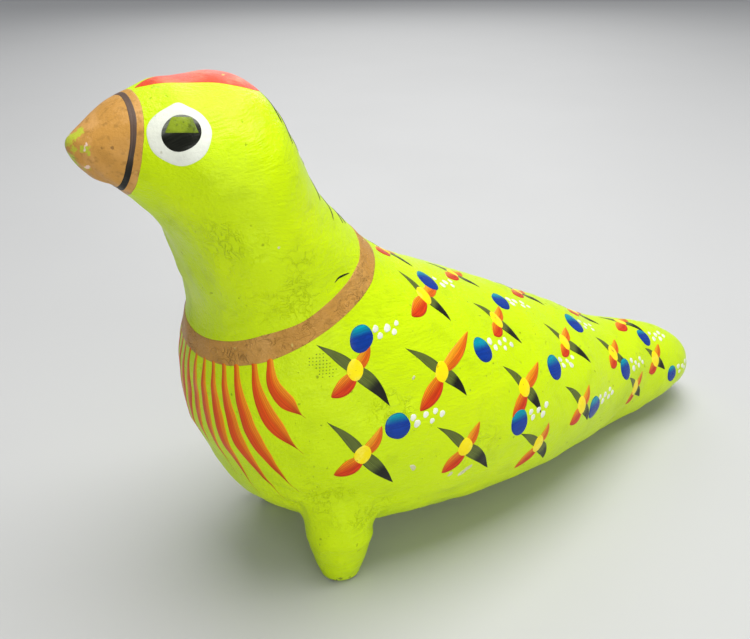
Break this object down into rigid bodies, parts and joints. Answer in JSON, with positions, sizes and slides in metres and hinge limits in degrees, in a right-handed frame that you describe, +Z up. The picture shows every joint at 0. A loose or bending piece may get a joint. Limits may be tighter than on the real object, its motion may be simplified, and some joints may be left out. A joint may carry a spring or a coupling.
{
  "type": "bird rattle",
  "caption": "Hollow moulded clay rattle shaped as a standing bird, two half shells on two peg feet, with loose clay pellets sealed in the chamber.",
  "frame": {"origin": "on the ground, under the middle of the bird's box", "axes": "+X the way the bird faces, +Y its left side, +Z up"},
  "size_m": [0.2401, 0.0858, 0.1549],
  "materials": {
    "painted_clay": "lime green paint over fired clay, satin",
    "slip_clay": "matt fired slip",
    "pellet_clay": "matt fired clay, unpainted"
  },
  "bodies": {
    "bird": {"shell_left": "painted_clay", "shell_right": "painted_clay", "seam_slip": "slip_clay", "foot_left": "painted_clay", "foot_right": "painted_clay"},
    "pellet_01": {"pellet_01": "pellet_clay"},
    "pellet_02": {"pellet_02": "pellet_clay"},
    "pellet_03": {"pellet_03": "pellet_clay"},
    "pellet_04": {"pellet_04": "pellet_clay"},
    "pellet_05": {"pellet_05": "pellet_clay"},
    "pellet_06": {"pellet_06": "pellet_clay"},
    "pellet_07": {"pellet_07": "pellet_clay"},
    "pellet_08": {"pellet_08": "pellet_clay"},
    "pellet_09": {"pellet_09": "pellet_clay"},
    "pellet_10": {"pellet_10": "pellet_clay"},
    "pellet_11": {"pellet_11": "pellet_clay"},
    "pellet_12": {"pellet_12": "pellet_clay"},
    "pellet_13": {"pellet_13": "pellet_clay"},
    "pellet_14": {"pellet_14": "pellet_clay"}
  },
  "joints": [
    {"name": "pellet_01_hop", "type": "slide", "parent": "bird", "child": "pellet_01", "axis": [0, 0, 1], "range_m": [0, 0.062]},
    {"name": "pellet_02_hop", "type": "slide", "parent": "bird", "child": "pellet_02", "axis": [0, 0, 1], "range_m": [0, 0.064]},
    {"name": "pellet_03_hop", "type": "slide", "parent": "bird", "child": "pellet_03", "axis": [0, 0, 1], "range_m": [0, 0.06]},
    {"name": "pellet_04_hop", "type": "slide", "parent": "bird", "child": "pellet_04", "axis": [0, 0, 1], "range_m": [0, 0.062]},
    {"name": "pellet_05_hop", "type": "slide", "parent": "bird", "child": "pellet_05", "axis": [0, 0, 1], "range_m": [0, 0.066]},
    {"name": "pellet_06_hop", "type": "slide", "parent": "bird", "child": "pellet_06", "axis": [0, 0, 1], "range_m": [0, 0.066]},
    {"name": "pellet_07_hop", "type": "slide", "parent": "bird", "child": "pellet_07", "axis": [0, 0, 1], "range_m": [0, 0.062]},
    {"name": "pellet_08_hop", "type": "slide", "parent": "bird", "child": "pellet_08", "axis": [0, 0, 1], "range_m": [0, 0.064]},
    {"name": "pellet_09_hop", "type": "slide", "parent": "bird", "child": "pellet_09", "axis": [0, 0, 1], "range_m": [0, 0.069]},
    {"name": "pellet_10_hop", "type": "slide", "parent": "bird", "child": "pellet_10", "axis": [0, 0, 1], "range_m": [0, 0.07]},
    {"name": "pellet_11_hop", "type": "slide", "parent": "bird", "child": "pellet_11", "axis": [0, 0, 1], "range_m": [0, 0.064]},
    {"name": "pellet_12_hop", "type": "slide", "parent": "bird", "child": "pellet_12", "axis": [0, 0, 1], "range_m": [0, 0.071]},
    {"name": "pellet_13_hop", "type": "slide", "parent": "bird", "child": "pellet_13", "axis": [0, 0, 1], "range_m": [0, 0.074]},
    {"name": "pellet_14_hop", "type": "slide", "parent": "bird", "child": "pellet_14", "axis": [0, 0, 1], "range_m": [0, 0.071]}
  ]
}
